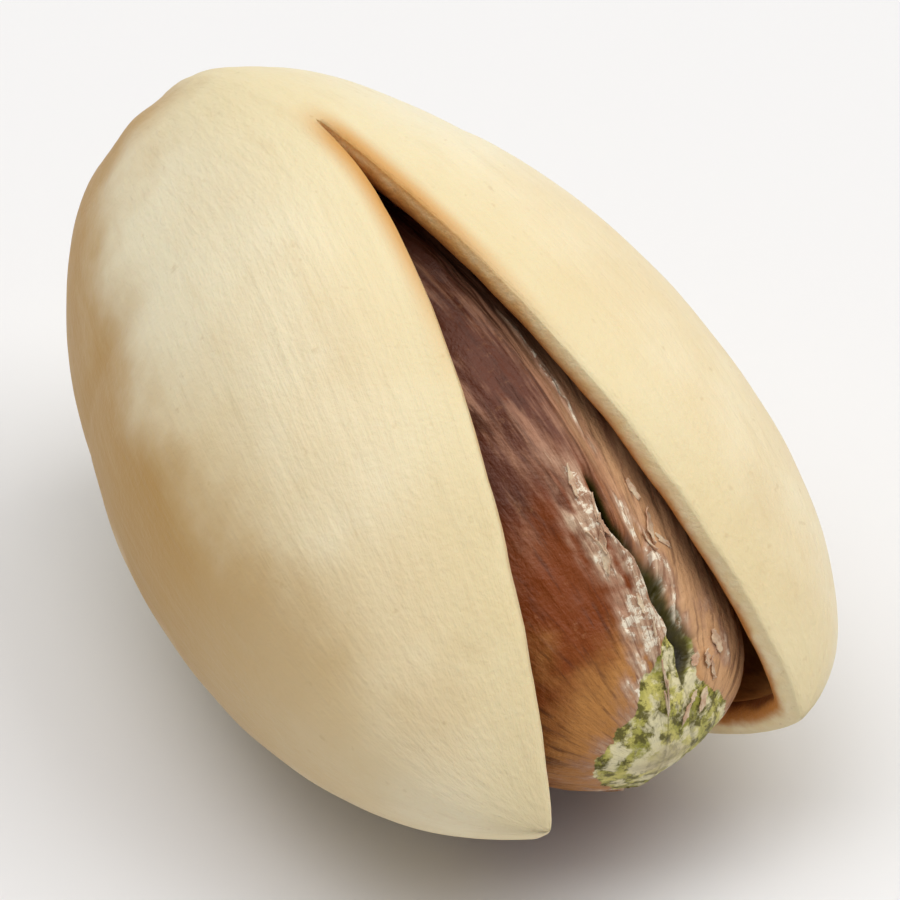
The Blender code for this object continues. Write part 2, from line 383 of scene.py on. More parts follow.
def add(tree, kind, wires, **settings):
    """Adds a node. wires gives each socket a number, a colour or another node's output."""
    made = tree.nodes.new("ShaderNode" + kind)
    for key, value in settings.items():
        setattr(made, key, value)
    for socket, value in wires.items():
        if isinstance(value, bpy.types.NodeSocket):
            tree.links.new(value, made.inputs[socket])
        else:
            made.inputs[socket].default_value = value
    return made


def note(tree, name, output="Vector"):
    """Reads a note that the mesh carries."""
    return add(tree, "Attribute", {}, attribute_name=name).outputs[output]


def cloud(tree, where, size, detail=3.0, rough=0.55, twist=0.0):
    """Noise with lumps of that size in mm."""
    sockets = {"Vector": where, "Scale": 1.0 / size, "Detail": detail, "Roughness": rough, "Distortion": twist}
    return add(tree, "TexNoise", sockets).outputs["Fac"]


def ramp(tree, value, low, high):
    """0 below low and 1 above high."""
    sockets = {"Value": value, "From Min": low, "From Max": high}
    return add(tree, "MapRange", sockets, interpolation_type="SMOOTHSTEP").outputs["Result"]


def times(tree, first, second):
    """Product of two values."""
    return add(tree, "Math", {0: first, 1: second}, operation="MULTIPLY").outputs[0]


def sum_of(tree, first, second):
    """Sum of two values."""
    return add(tree, "Math", {0: first, 1: second}, operation="ADD").outputs[0]


def tint(tree, amount, under, over):
    """Lays the colour over on the colour under."""
    return add(tree, "Mix", {0: amount, 6: under, 7: over}, data_type="RGBA").outputs[2]


def coats(tree, colour, layers):
    """Lays coats over a colour. Each layer is (where it goes, its strength, its paint)."""
    for where, strength, paint in layers:
        colour = tint(tree, times(tree, where, strength), colour, paint)
    return colour


def vary_shine(tree, shader, where, least, most):
    """Roughness that drifts between two values."""
    drift = add(tree, "MapRange", {"Value": where, "To Min": least, "To Max": most})
    tree.links.new(drift.outputs["Result"], shader.inputs["Roughness"])


def let_light_in(shader, weight, depths, scale):
    """Lets light a little way in. depths are how far red, green and blue go, times the scale."""
    shader.inputs["Subsurface Weight"].default_value = weight
    shader.inputs["Subsurface Radius"].default_value = depths
    shader.inputs["Subsurface Scale"].default_value = scale


def raise_bump(tree, shader, layers):
    """Chains bump nodes. Each layer is (height value, depth in mm)."""
    normal = None
    for height, depth in layers:
        sockets = {"Height": height, "Distance": depth * MM, "Strength": 1.0}
        if normal is not None:
            sockets["Normal"] = normal
        normal = add(tree, "Bump", sockets).outputs["Normal"]
    tree.links.new(normal, shader.inputs["Normal"])


def shade(red, green, blue):
    """A colour as it looks on screen, 0 to 255, turned into the shader's own scale by the sRGB curve."""
    screen = np.array([red, green, blue]) / 255
    linear = np.where(screen <= 0.04045, screen / 12.92, ((screen + 0.055) / 1.055) ** 2.4)
    return (*linear.tolist(), 1.0)


def tell(material):
    """Prints how many nodes a finish has, and hands it on."""
    print(f"{material.name}: {len(material.node_tree.nodes)} nodes")
    return material


print("mid grey in the shader's scale:", [round(part, 3) for part in shade(128, 128, 128)])

# %% [markdown]
# ## The colour of the shell's outside
#
# Dried shell is cream, tan low on its flanks, yellower near the split, with faint streaks from base to
# tip and a pale crusty scar. The tan low on the flanks is partly stain and partly painted shade, with more
# of it on the left half. One flat cream would look like plastic, and a painted picture would need an
# unwrapped mesh. Here soft clouds shift the cream, thin streaks follow the grain notes, and the notes for
# base, flank and seam say where the tans, the painted flank shade and the crust belong.

# %% Shell outside: colour
CREAM, DEEP_CREAM, BASE_CREAM = shade(239, 226, 192), shade(231, 212, 171), shade(237, 229, 200)
SPLIT_YELLOW, FLANK_TAN_AND_SHADE, SEAM_TAN = shade(226, 208, 158), shade(184, 142, 72), shade(208, 150, 72)
STREAK_TAN, FLECK_BROWN, FAN_BROWN = shade(207, 182, 136), shade(180, 148, 98), shade(180, 150, 108)
SCAR_CHALK, PIT_BROWN = shade(224, 210, 184), shade(104, 74, 46)


def shell_colour(tree):
    """Cream, the tans and the painted shade of the lower flanks over it, and the pale scar on top."""
    place, grain = note(tree, "place"), note(tree, "grain")
    from_base, to_seam = note(tree, "from_base", "Fac"), note(tree, "to_seam", "Fac")
    cream = tint(tree, ramp(tree, cloud(tree, place, 5.0), 0.35, 0.68), CREAM, DEEP_CREAM)
    # Painted shade mixed with a tan stain: darker low on the flanks, and more on the left half.
    flank = sum_of(tree, note(tree, "low_flank_tan_and_shade", "Fac"), cloud(tree, place, 3.0, 4.0, 0.5))
    flank = times(tree, ramp(tree, flank, 0.72, 1.36), ramp(tree, from_base, 23.0, 12.0))
    beside_crack = times(tree, ramp(tree, from_base, 7.2, 9.0), ramp(tree, from_base, 15.0, 10.5))
    fan = times(tree, ramp(tree, from_base, 4.6, 1.5), ramp(tree, cloud(tree, grain, 0.5, 4.0), 0.42, 0.66))
    colour = coats(tree, cream, [
        (ramp(tree, from_base, 14.0, 6.0), 0.6, BASE_CREAM),
        (ramp(tree, to_seam, 3.2, 0.3), 0.5, SPLIT_YELLOW),
        (flank, 0.95, FLANK_TAN_AND_SHADE),
        (ramp(tree, cloud(tree, grain, 0.42, 5.0, 0.65), 0.50, 0.80), 0.26, STREAK_TAN),
        (ramp(tree, cloud(tree, place, 0.33, 2.0), 0.66, 0.78), 0.22, FLECK_BROWN),
        (times(tree, ramp(tree, to_seam, 0.65, 0.05), beside_crack), 0.9, SEAM_TAN),
        (fan, 0.32, FAN_BROWN),
    ])
    return crusty_scar(tree, colour, place, from_base)


def crusty_scar(tree, colour, place, from_base):
    """The old stem end: pale and chalky, with dark pits."""
    scar = ramp(tree, sum_of(tree, from_base, cloud(tree, place, 0.6)), 2.05, 1.65)
    pits = times(tree, scar, ramp(tree, cloud(tree, place, 0.32, 4.0, 0.7), 0.50, 0.36))
    return tint(tree, pits, tint(tree, scar, colour, SCAR_CHALK), PIT_BROWN)


print("cream and flank tan in the shader's scale:", np.round([CREAM[:3], FLANK_TAN_AND_SHADE[:3]], 2).tolist())

# %% [markdown]
# ## Shine and grain of the shell's outside
#
# A dried shell is hard and semi-matt, and light gets a little way into it, which softens its shadows. One
# value for the shine would be simpler, but no shell shines evenly, so soft clouds vary it. The finest
# grain is too small for the mesh, so it is left to bump, which tilts the light and moves no points.

# %% Shell outside: the whole finish
def finish_outside():
    """Semi-matt, with a fine grain to the touch."""
    material, tree, shader = new_finish("shell_outside")
    tree.links.new(shell_colour(tree), shader.inputs["Base Color"])
    place, grain = note(tree, "place"), note(tree, "grain")
    vary_shine(tree, shader, cloud(tree, place, 1.4, 5.0), 0.40, 0.62)
    shader.inputs["Specular IOR Level"].default_value = 0.38
    let_light_in(shader, 0.12, (0.9, 0.55, 0.3), 0.5 * MM)
    layers = [(cloud(tree, grain, 0.22, 4.0, 0.6), 0.035), (cloud(tree, place, 0.16, 3.0), 0.02)]
    raise_bump(tree, shader, layers)
    return tell(material)


OUTSIDE = finish_outside()

# %% [markdown]
# ## The finish of the rim
#
# The rim is the broken edge of the shell. Its outer corner has the colour of the outside. Across its
# width it turns yellower and then, on the bevel inside, a burnt orange-brown, strongest where the crack
# begins. A painter would pull these bands along the edge by hand. Here the note "across" runs over the
# rim from outside to inside, so the colours follow the edge all the way round by themselves.

# %% Rim
STRAW, DEEP_STRAW, RIM_HONEY = shade(243, 228, 190), shade(233, 210, 160), shade(214, 156, 80)
RIM_ORANGE, RIM_BROWN, RIM_SPECK = shade(196, 132, 66), shade(128, 74, 32), shade(160, 112, 62)


def rim_colour(tree, place):
    """Cream outside, straw in the middle, orange-brown inside."""
    from_base, inward = note(tree, "from_base", "Fac"), note(tree, "across", "Fac")
    straw = tint(tree, ramp(tree, cloud(tree, place, 0.5, 4.0), 0.3, 0.7), STRAW, DEEP_STRAW)
    colour = tint(tree, ramp(tree, inward, 0.0, 0.25), shell_colour(tree), straw)
    uneven = sum_of(tree, inward, times(tree, cloud(tree, place, 0.6, 4.0), 0.5))
    stain = times(tree, ramp(tree, from_base, 21.0, 11.0), ramp(tree, uneven, 0.18, 0.60))
    return coats(tree, colour, [
        (stain, 0.9, RIM_HONEY),
        (ramp(tree, uneven, 0.48, 0.85), 1.0, RIM_ORANGE),
        (ramp(tree, uneven, 0.95, 1.20), 1.0, RIM_BROWN),
        (ramp(tree, cloud(tree, place, 0.2, 4.0, 0.65), 0.60, 0.74), 0.3, RIM_SPECK),
    ])


def finish_rim():
    """The split edge."""
    material, tree, shader = new_finish("shell_rim")
    place = note(tree, "place")
    tree.links.new(rim_colour(tree, place), shader.inputs["Base Color"])
    vary_shine(tree, shader, cloud(tree, place, 0.5), 0.45, 0.7)
    let_light_in(shader, 0.12, (0.9, 0.5, 0.25), 0.5 * MM)
    raise_bump(tree, shader, [(cloud(tree, place, 0.14, 4.0, 0.6), 0.04)])
    return tell(material)


RIM = finish_rim()

# %% [markdown]
# ## The finish of the lining
#
# The inside of the shell is smooth, brown and faintly shiny, with darker stains along the grain. It could
# be the finish of the outside with darker paints, but it has no scar, tans or flecks, so a short finish
# of its own is easier to read and to change.

# %% Lining
LINING_TAN, LINING_BROWN, LINING_STAIN = shade(212, 156, 92), shade(184, 124, 64), shade(140, 82, 38)


def finish_lining():
    """The smooth inner face."""
    material, tree, shader = new_finish("shell_lining")
    place, grain = note(tree, "place"), note(tree, "grain")
    colour = tint(tree, ramp(tree, cloud(tree, place, 2.4, 4.0), 0.3, 0.7), LINING_TAN, LINING_BROWN)
    stain = ramp(tree, cloud(tree, grain, 0.7, 4.0), 0.46, 0.70)
    colour = coats(tree, colour, [(stain, 0.6, LINING_STAIN)])
    tree.links.new(colour, shader.inputs["Base Color"])
    vary_shine(tree, shader, cloud(tree, place, 0.9), 0.32, 0.5)
    raise_bump(tree, shader, [(cloud(tree, grain, 0.35, 3.0), 0.03)])
    return tell(material)


LINING = finish_lining()

# %% [markdown]
# ## What the shell's points know
#
# A mark on a real shell has its place: tan low on the flank, yellow beside the split, crust on the scar.
# The tan low on the flank also holds painted shade, with more of it on the left half.
# Vertex colours could hold the marks themselves, but only as sharp as the mesh is fine. The notes hold
# what the marks depend on, and the finishes turn it into colour at every pixel.

# %% Notes for the shell's finishes
# The flank note is a tan stain low on the flanks that is partly painted shade. The extra on the left half is
# painted shade.
FLANK_SHARE, FLANK_LEFT_SHADE, FLANK_SPREAD = 0.75, 0.25, 0.55


def shell_notes(points, theta, phi, side, across):
    """What the finishes read at each point, lengths in mm. The left flank gets more tan, as painted shade."""
    shape = points.shape[:-1]
    flank = hill(points[..., 1] / (0.5 * WIDTH) + 0.05, FLANK_SPREAD)
    return {
        "place": own_side(points, side) / MM,
        "grain": np.broadcast_to(grain_lines(theta, phi, side), (*shape, 3)),
        "from_base": np.broadcast_to(distance_from_base(theta) / MM, shape),
        "to_seam": np.broadcast_to(distance_to_seam(theta, phi) / MM, shape),
        "low_flank_tan_and_shade": (FLANK_SHARE + FLANK_LEFT_SHADE * side * np.sin(phi)) * flank,
        "across": np.broadcast_to(across, shape),
    }


print("from base to tip along the shell, mm:", round(distance_from_base(math.pi) / MM, 1))

# %% [markdown]
# ## Faces and rims of a half
#
# Each half has an outer face, an inner face and, past the point where it has split, two rims that join
# them. A bevel modifier rounds an edge by the same amount all along. Here the rim is rounded outside and
# bevelled inside, wanders a little as a split edge does, and fades out where the crack closes.

# %% Faces and rims
RIM_STEPS = 10
RIM_ROUNDING, RIM_BEVEL = 0.16 * MM, 0.34 * MM
RIM_FADE, RIM_UNEVENNESS, RIM_WANDER = 0.6 * MM, 0.04 * MM, 1.3 * MM
CRACK_GAP = 0.03 * MM


def rim_back(theta, across, wander):
    """How far the rim stands back from the seam plane."""
    past = np.maximum(closed_inner(theta, np.zeros_like(theta))[..., 0] - BEND_START, 0.0)
    ease = 1 - np.exp(-past / BEND_LENGTH)
    lowest = np.where(np.asarray(across) < 0.5, RIM_ROUNDING, RIM_BEVEL)
    return CRACK_GAP + ease * (lowest * (2 * across - 1) ** 2 + RIM_UNEVENNESS * (1 + wander))


def wander_of(points, side):
    """The slow unevenness of a split edge."""
    return lumps(own_side(points, side), RIM_WANDER, 11.0, 3)


def face_grid(surface, theta, phi, side, across, split):
    """One face of a half, drawn back at the split seams to meet the rims. Both ends are single points."""
    closed = surface(theta, phi)
    closed[0], closed[-1] = closed[0, 0], closed[-1, 0]
    above, below = [rim_back(theta[:, 0], across, wander_of(closed[:, k], side))[:, None] for k in (0, -1)]
    back = np.where(phi <= math.pi / 2, above, below) * np.exp(-closed[..., 2] / RIM_FADE)
    back[:split] = 0.0
    return closed, opened(closed, side, back)


def rim_grid(outer, inner, theta, column, side, split):
    """The strip between the outer and the inner edge, from the last joined row to the tip."""
    across = (1 - np.cos(np.linspace(0.0, math.pi, RIM_STEPS + 1)))[None, :] / 2
    start, end = outer[split - 1:, column], inner[split - 1:, column]
    closed = start[:, None] + (end - start)[:, None] * across[..., None]
    edges = [wander_of(start, side)[:, None], wander_of(end, side)[:, None]]
    wander = edges[0] * (1 - across) + edges[1] * across
    back = rim_back(theta[split - 1:], across, wander)
    back[0] = 0.0
    return closed, opened(closed, side, back), across


print(f"rim rounded by {RIM_ROUNDING / MM:.2f} mm outside and bevelled by {RIM_BEVEL / MM:.2f} mm inside")

# %% [markdown]
# ## The shell as one piece
#
# The halves of a real shell have grown together round the base. Two objects pushed against each other
# would show a gap or an overlap there. So all faces and rims go into one mesh, welding closes the seam
# where the halves haven't split, and the piece takes the place of the solid shell.

# %% Build the shell
SHELL_ROWS, SHELL_COLUMNS = 200, 96
SHELL_FINISHES = [OUTSIDE, RIM, LINING]


def split_shell():
    """Both halves, welded where they haven't split."""
    theta = np.linspace(0.0, math.pi, SHELL_ROWS + 1)[:, None]
    phi = np.linspace(0.0, math.pi, SHELL_COLUMNS + 1)[None, :]
    split = int(np.argmax(closed_inner(theta[:, 0], np.zeros(SHELL_ROWS + 1))[:, 0] > BEND_START))
    grids, kept, finish = [], [], []

    def keep(closed, placed, spot, angle, side, across, k):
        grids.append(on_table(placed))
        kept.append(shell_notes(closed, spot, angle, side, across))
        finish.append(k)

    outside, rim, lining = range(len(SHELL_FINISHES))
    for side in (1, -1):
        outer, placed = face_grid(lambda t, p: closed_outer(t, p, side, True), theta, phi, side, 0.0, split)
        keep(outer, placed, theta, phi, side, 0.0, outside)
        inner, placed = face_grid(closed_inner, theta, phi, side, 1.0, split)
        keep(inner, placed, theta, phi, side, 1.0, lining)
        for column in (0, -1):
            closed, placed, across = rim_grid(outer, inner, theta, column, side, split)
            keep(closed, placed, theta[split - 1:], phi[:, column][:, None], side, across, rim)
    notes = {name: [values[name] for values in kept] for name in kept[0]}
    return piece_of_grids("split_shell", grids, notes, SHELL_FINISHES, finish)


SHELL = split_shell()
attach(SHELL, "root")
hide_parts("shell")

# %% [markdown]
# ## The seed
#
# The seed is longer than wide, oval at the base and lens-shaped at the tip, with a keel under each seam.
# It is rolled a little to the right and fuller on that side near the tip. Its skin wrinkled as it dried.
# From the middle on, it has cracked along the upper keel, and near the tip it has flaked off the green
# flesh. The seed could be two objects, flesh and skin, but a skin a tenth of a millimetre thick is easier
# to carve: where it is gone, the surface drops by that much, with a torn edge.

# %% Sizes of the seed
KERNEL_START, KERNEL_LENGTH = 2.75 * MM, 16.45 * MM
KERNEL_WIDTH, KERNEL_THICKNESS = 9.45 * MM, 8.75 * MM
KERNEL_WIDTH_TAPER, KERNEL_THICKNESS_TAPER = 0.12, -0.06
KERNEL_PINCH, KERNEL_TIP_PINCH = 0.24, 1.0
KERNEL_TIP_SWELL, KERNEL_SWELL_PLACE, KERNEL_SWELL_SPREAD, KERNEL_SWELL_TURN = 0.30, 0.87, 0.10, 0.9
KERNEL_SHIFT, KERNEL_TIP_SHIFT = -0.15 * MM, 0.2 * MM
KERNEL_ROLL = math.radians(7.0)
KEEL_HEIGHT, KEEL_SPREAD, LOWER_KEEL = 0.15 * MM, 0.30, 0.7
WRINKLE_HEIGHT, WRINKLE_COUNT = 0.06 * MM, 7
SKIN_THICKNESS = 0.10 * MM


def kernel_relief(theta, phi):
    """Keels and broad wrinkles, as on the solid."""
    to_top = np.abs(np.arctan2(np.sin(phi), np.cos(phi)))
    keels = hill(to_top, KEEL_SPREAD) + LOWER_KEEL * hill(math.pi - to_top, KEEL_SPREAD)
    keel = KEEL_HEIGHT * keels * np.sin(theta / 2)
    wrinkles = WRINKLE_HEIGHT * np.cos(WRINKLE_COUNT * phi + 2.2 * np.sin(2.4 * theta + 0.6))
    return (keel + wrinkles) * np.sin(theta)


def kernel_surface(theta, phi, relief):
    """The seed in the nut's axes, with this height above its smooth form."""
    along = KERNEL_START + KERNEL_LENGTH / 2 * (1 - np.cos(theta))
    half_width = KERNEL_WIDTH / 2 * taper(theta, KERNEL_WIDTH_TAPER)
    swell = KERNEL_TIP_SWELL * hill(theta / math.pi - KERNEL_SWELL_PLACE, KERNEL_SWELL_SPREAD)
    swell = swell * np.maximum(np.cos(phi + KERNEL_SWELL_TURN), 0.0) ** 3
    half_thickness = KERNEL_THICKNESS / 2 * taper(theta, KERNEL_THICKNESS_TAPER) * (1 + swell)
    pinch = KERNEL_PINCH + KERNEL_TIP_PINCH * (theta / math.pi) ** 2
    up = (half_width + relief) * np.cos(phi)
    out = (half_thickness * np.abs(np.sin(phi)) ** pinch + relief) * np.sin(phi)
    rolled_up = up * math.cos(KERNEL_ROLL) + out * math.sin(KERNEL_ROLL)
    rolled_out = out * math.cos(KERNEL_ROLL) - up * math.sin(KERNEL_ROLL)
    rolled_out = rolled_out + KERNEL_SHIFT + KERNEL_TIP_SHIFT * (theta / math.pi) ** 3
    return lifted(np.stack(np.broadcast_arrays(along, rolled_up, rolled_out), axis=-1))


print(f"seed {KERNEL_LENGTH / MM:.2f} x {KERNEL_WIDTH / MM:.2f} x {KERNEL_THICKNESS / MM:.2f} mm")

# %% [markdown]
# ## The crack in the skin
#
# The skin has cracked down the upper keel, hair-fine at first and open near the tip, with a steep left
# wall and a sloping right one. A knife or a boolean could cut it. A line and a width, both formulas of
# the reach, which runs from 0 at the base to 1 at the tip, are easier to shift and leave the mesh whole.

# %% The crack
CRACK_START, CRACK_DEPTH, STEEP_WALL = 0.635, 0.75 * MM, 0.05 * MM
CRACK_PLACE, CRACK_DRIFT, CRACK_WAVE = -0.42 * MM, 0.40 * MM, 0.05 * MM
HAIR_WIDTH, OPEN_WIDTH = 0.06 * MM, 0.20 * MM


def crack_line(reach):
    """Sideways place of the crack. It drifts to the right towards the tip."""
    return CRACK_PLACE - CRACK_DRIFT * soft_step(reach, 0.68, 0.83) + CRACK_WAVE * np.sin(75 * reach)


def crack_width(reach):
    """Half the width of the crack, hair-fine and then open."""
    return HAIR_WIDTH + OPEN_WIDTH * soft_step(reach, 0.70, 0.77) * (1 - soft_step(reach, 0.81, 0.87))


down_the_crack = np.linspace(CRACK_START, 0.85, 5)
print("half-width of the crack along its way, mm:", (crack_width(down_the_crack) / MM).round(2))

# %% [markdown]
# ## Dried, papery skin
#
# Beside the crack the outer layer of the skin has come loose and dried pale, in streaks that run from
# base to tip. Noise alone would scatter them all over the seed. Here bands say where they may lie, and
# stretched noise breaks the bands up into streaks. sideways is the distance from the crack, to the left.

# %% Papery streaks
def window(value, start, full, fading, end):
    """0 before start, 1 from full to fading, and 0 again after end."""
    return soft_step(value, start, full) * (1 - soft_step(value, fading, end))


def papery_streaks(plain, reach, sideways):
    """Where the skin has dried pale: beside the crack, in a line towards the base, and at the tip."""
    out = plain[..., 2]
    wider = soft_step(reach, 0.74, 0.88)
    left = hill(sideways - (0.34 + 0.40 * wider) * MM, (0.42 + 0.30 * wider) * MM)
    left = (0.9 + 0.25 * wider) * left * window(reach, 0.56, 0.69, 0.90, 0.96)
    right = 0.8 * hill(sideways + 0.66 * MM, 0.26 * MM) * window(reach, 0.65, 0.70, 0.77, 0.82)
    # Along the crack's lips the dried skin is pushed past 1, and that is where the finish paints white
    # highlights.
    lips_and_glints = np.maximum(hill(sideways - 0.10 * MM, 0.09 * MM), hill(sideways + 0.50 * MM, 0.10 * MM))
    lips_and_glints = 1.15 * lips_and_glints * window(reach, 0.64, 0.68, 0.81, 0.85)
    line = 0.85 * hill(out + 1.08 * MM, 0.13 * MM) * window(reach, 0.44, 0.50, 0.60, 0.65)
    corner = 0.75 * hill(out + 2.05 * MM, 0.26 * MM) * window(reach, 0.74, 0.78, 0.83, 0.86)
    tip = 0.55 * soft_step(reach, 0.84, 0.92)
    under = 0.7 * hill(plain[..., 1] + 1.3 * MM, 0.9 * MM) * soft_step(reach, 0.78, 0.88)
    bands = np.maximum.reduce([left, right, lips_and_glints, line, corner, tip, under])
    streaks = lumps(plain * np.array([0.30, 1.0, 1.0]), 0.30 * MM, 9.0, 4)
    return np.clip(bands * (0.85 + 1.3 * streaks), 0.0, 1.0)


print("window of the left streak:", window(np.array([0.5, 0.6, 0.8, 0.93]), 0.56, 0.69, 0.90, 0.96).round(2))

# %% [markdown]
# ## Where the skin has torn off
#
# Near the tip the skin is gone and the green flesh shows. A mask painted by hand would be quicker for one
# view. Here the skin is gone wherever the crack is closer than a ragged limit, which grows towards the
# tip. The result is a set of notes: bare, papery, depth and sideways. The mesh sinks by them and the
# finish changes by them, so shape and colour can't drift apart.

# %% Bare flesh and all the notes of the skin
def torn_skin(plain, theta):
    """bare, papery, the depth of the crack and the distance from it, at points of the plain seed."""
    reach = np.broadcast_to(theta / math.pi, plain.shape[:-1])
    upper = soft_step(plain[..., 1] + 1.5 * MM * soft_step(reach, 0.80, 0.90), -1.4 * MM, -0.5 * MM)
    sideways = plain[..., 2] - crack_line(reach)
    begun = soft_step(reach, CRACK_START, CRACK_START + 0.03)
    ragged = lumps(plain * np.array([0.5, 1.0, 1.0]), 0.42 * MM, 5.0, 4)
    width = crack_width(reach) * (1 + 0.5 * ragged)
    wall = np.where(sideways > 0, STEEP_WALL, 2.0 * width)
    depth = CRACK_DEPTH * hill(sideways, wall) * begun * (1 - 0.8 * soft_step(reach, 0.81, 0.87))
    at_tip = soft_step(reach, 0.80, 0.90)
    spread = 0.8 * soft_step(reach, 0.79, 0.87) + 1.3 * soft_step(reach, 0.86, 0.92)
    spread = spread + 3.0 * soft_step(reach, 0.885, 0.94)
    flayed = width * 1.3 + (spread + (0.05 + 0.50 * at_tip) * ragged) * MM
    middle = width * (1 - at_tip) - 0.40 * MM * at_tip
    bare = soft_step(flayed - np.abs(sideways + middle), 0.0, 0.06 * MM) * begun
    papery = papery_streaks(plain, reach, sideways)
    return bare * upper, papery * upper, depth * upper, sideways


print(f"the skin is {SKIN_THICKNESS / MM:.2f} mm thick and the crack {CRACK_DEPTH / MM:.2f} mm deep")

# %% [markdown]
# ## The surface of the seed
#
# Dried skin lifts where it is papery, the flesh under it is lumpy, and fine wrinkles run over the rest.
# Subdividing the seed until its torn edges are crisp would make a heavy mesh. Instead the rows lie
# closest where the skin is torn, and the columns closest on the side that shows in the mouth.

# %% Points of the seed
SEED_ROWS, SEED_COLUMNS = 300, 300
FINE_WRINKLES, BROAD_DENTS = 0.045 * MM, 0.05 * MM
PAPER_LIFT, FLESH_LUMPS = 0.05 * MM, 0.09 * MM


def seed_wrinkles(plain, theta, phi):
    """Fine wrinkles of dried skin, mostly from base to tip, and broader dents."""
    round_it = np.broadcast_arrays(1.6 * theta, 4.5 * np.cos(phi), 4.5 * np.sin(phi))
    fine = FINE_WRINKLES * lumps(np.stack(round_it, axis=-1), 0.5, 2.0, 4)
    return fine + BROAD_DENTS * lumps(plain, 1.2 * MM, 4.0, 3)


def seed_rows():
    """Angles from base to tip, closest together at about three quarters of the way."""
    even = np.linspace(0.0, 1.0, SEED_ROWS + 1)
    wave = np.sin(2 * math.pi * (even - 0.2)) + math.sin(2 * math.pi * 0.2)
    return math.pi * (even + 0.09 * wave)


def seed():
    """The seed with its torn skin."""
    theta = seed_rows()[:, None]
    turn = np.linspace(0.0, 2 * math.pi, SEED_COLUMNS + 1)[None, :]
    phi = turn - 0.55 * np.sin(turn)
    plain = kernel_surface(theta, phi, kernel_relief(theta, phi))
    bare, papery, depth, sideways = torn_skin(plain, theta)
    lifting = PAPER_LIFT * soft_step(papery, 0.35, 0.8) * (0.7 + lumps(plain, 0.35 * MM, 6.0, 3))
    skin = (SKIN_THICKNESS + lifting) * (1 - bare)
    flesh = FLESH_LUMPS * bare * lumps(plain, 0.34 * MM, 8.0, 4)
    fine = skin - SKIN_THICKNESS + flesh + seed_wrinkles(plain, theta, phi) - depth
    relief = kernel_relief(theta, phi) + fine * np.minimum(1.4 * np.sin(theta), 1.0)
    placed = kernel_surface(theta, phi, relief)
    placed[0], placed[-1], placed[:, -1] = placed[0, 0], placed[-1, 0], placed[:, 0]
    grain = np.stack(np.broadcast_arrays(1.2 * theta, 4.5 * np.cos(phi), 4.5 * np.sin(phi)), axis=-1)
    notes = {
        "place": [plain / MM],
        "grain": [grain],
        "bare": [bare],
        "papery": [papery],
        "reach": [np.broadcast_to(theta / math.pi, bare.shape)],
        "sideways": [sideways / MM],
        "depth": [depth / MM],
    }
    return piece_of_grids("seed", [on_table(placed)], notes, [finish_seed()], [0])


row_steps = np.diff(seed_rows())
print(f"the closest rows are {row_steps.max() / row_steps.min():.1f} times closer than the widest ones")

# %% [markdown]
# ## The colour of the skin
#
# The skin is purple-brown near the base and rust-brown towards the tip, pinker on the right of the crack,
# with fine dark veins. It could be one photograph laid over the seed, but that would stretch at the ends
# and repeat its light and shadow. Each colour here is a coat with a place of its own, so each can be
# moved or weakened without touching the others.

# %% Skin
PURPLE, RUST, TIP_TAN = shade(98, 52, 34), shade(124, 58, 12), shade(188, 132, 72)
SKIN_PINK, SKIN_ROSE = shade(212, 168, 126), shade(194, 144, 114)
VEIN_BROWN, RUBBED_TAN = shade(72, 36, 22), shade(192, 140, 98)


def skin_colour(tree, place, grain):
    """Purple to rust, pinker on the right, with darker veins and pale rubbed lines."""
    reach, sideways = note(tree, "reach", "Fac"), note(tree, "sideways", "Fac")
    shift = sum_of(tree, reach, times(tree, cloud(tree, place, 1.4, 4.0), 0.22))
    colour = tint(tree, ramp(tree, shift, 0.70, 0.80), PURPLE, RUST)
    pink = times(tree, ramp(tree, sideways, 0.0, -0.8), ramp(tree, reach, 0.42, 0.64))
    rosy = ramp(tree, cloud(tree, grain, 0.55, 4.0, 0.6), 0.44, 0.60)
    rosy = times(tree, rosy, ramp(tree, shift, 0.84, 0.68))
    return coats(tree, colour, [
        (ramp(tree, shift, 0.85, 0.96), 0.9, TIP_TAN),
        (pink, 0.85, SKIN_PINK),
        (rosy, 0.6, SKIN_ROSE),
        (ramp(tree, cloud(tree, grain, 0.33, 5.0, 0.65), 0.50, 0.66), 0.6, VEIN_BROWN),
        (ramp(tree, cloud(tree, place, 0.42, 5.0, 0.7), 0.58, 0.76), 0.30, RUBBED_TAN),
    ])


print("purple and rust in the shader's scale:", np.round([PURPLE[:3], RUST[:3]], 3).tolist())

# %% [markdown]
# ## The colours of dried skin and flesh
#
# The dried layer is a pinkish white. The flesh is yellow-green, with olive hollows and cream where it has
# dried. Each could be a material of its own, but a face has only one material, so their border would be
# jagged. Mixed inside one material by the notes, they change exactly where the torn edges are.

# %% Papery skin and flesh
PAPER_EDGE, PAPER, DARK_PAPER = shade(178, 136, 110), shade(214, 186, 158), shade(178, 138, 112)
PAINTED_GLINT_WHITE, PAPER_LINE = shade(250, 240, 218), shade(132, 86, 60)
FLESH_YELLOW, FLESH_GREEN, OLIVE = shade(214, 204, 118), shade(156, 154, 62), shade(72, 66, 18)
DRIED_CREAM, TIP_CREAM = shade(240, 230, 190), shade(228, 212, 170)


